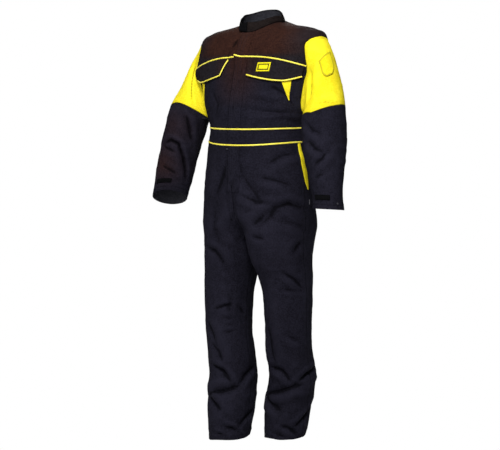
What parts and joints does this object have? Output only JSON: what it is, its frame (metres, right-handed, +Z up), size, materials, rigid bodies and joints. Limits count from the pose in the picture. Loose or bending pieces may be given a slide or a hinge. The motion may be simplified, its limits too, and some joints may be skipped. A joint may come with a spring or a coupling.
{
  "type": "welding coverall",
  "caption": "Dark zip-front welding coverall in its worn shape, with yellow upper sleeves, pale piping, a stand collar and flap pockets.",
  "frame": {"origin": "middle of the neck opening, at the level of the neck seam beside the neck, where the garment is held up", "axes": "+Z up towards the collar, -Y towards the garment's front, +X towards the wearer's left"},
  "size_m": [0.8745, 0.3353, 1.5956],
  "materials": {
    "navy_cloth": "matte",
    "dark_cloth": "matte",
    "yellow_cloth": "matte",
    "piping": "matte"
  },
  "bodies": {
    "root": {"yoke_front_left": "dark_cloth", "yoke_front_right": "dark_cloth", "yoke_back": "dark_cloth", "collar": "dark_cloth", "pocket_flap_left": "dark_cloth", "pocket_flap_right": "dark_cloth", "chest_panel_left": "navy_cloth", "chest_panel_right": "navy_cloth", "back_panel": "navy_cloth", "waistband": "navy_cloth", "trouser_leg_left": "navy_cloth", "trouser_leg_right": "navy_cloth", "lower_sleeve_left": "navy_cloth", "lower_sleeve_right": "navy_cloth", "placket": "navy_cloth", "collar_tab": "navy_cloth", "cuff_tab_left": "navy_cloth", "cuff_tab_right": "navy_cloth", "upper_sleeve_left": "yellow_cloth", "upper_sleeve_right": "yellow_cloth", "chest_wedge_left": "yellow_cloth", "chest_wedge_right": "yellow_cloth", "hip_wedge_left": "yellow_cloth", "hip_wedge_right": "yellow_cloth", "sleeve_badge": "yellow_cloth", "chest_patch": "yellow_cloth", "chest_piping_left": "piping", "chest_piping_right": "piping", "waist_piping_upper_left": "piping", "waist_piping_upper_right": "piping", "waist_piping_lower_left": "piping", "waist_piping_lower_right": "piping", "flap_piping_left": "piping", "flap_piping_right": "piping"}
  },
  "joints": []
}
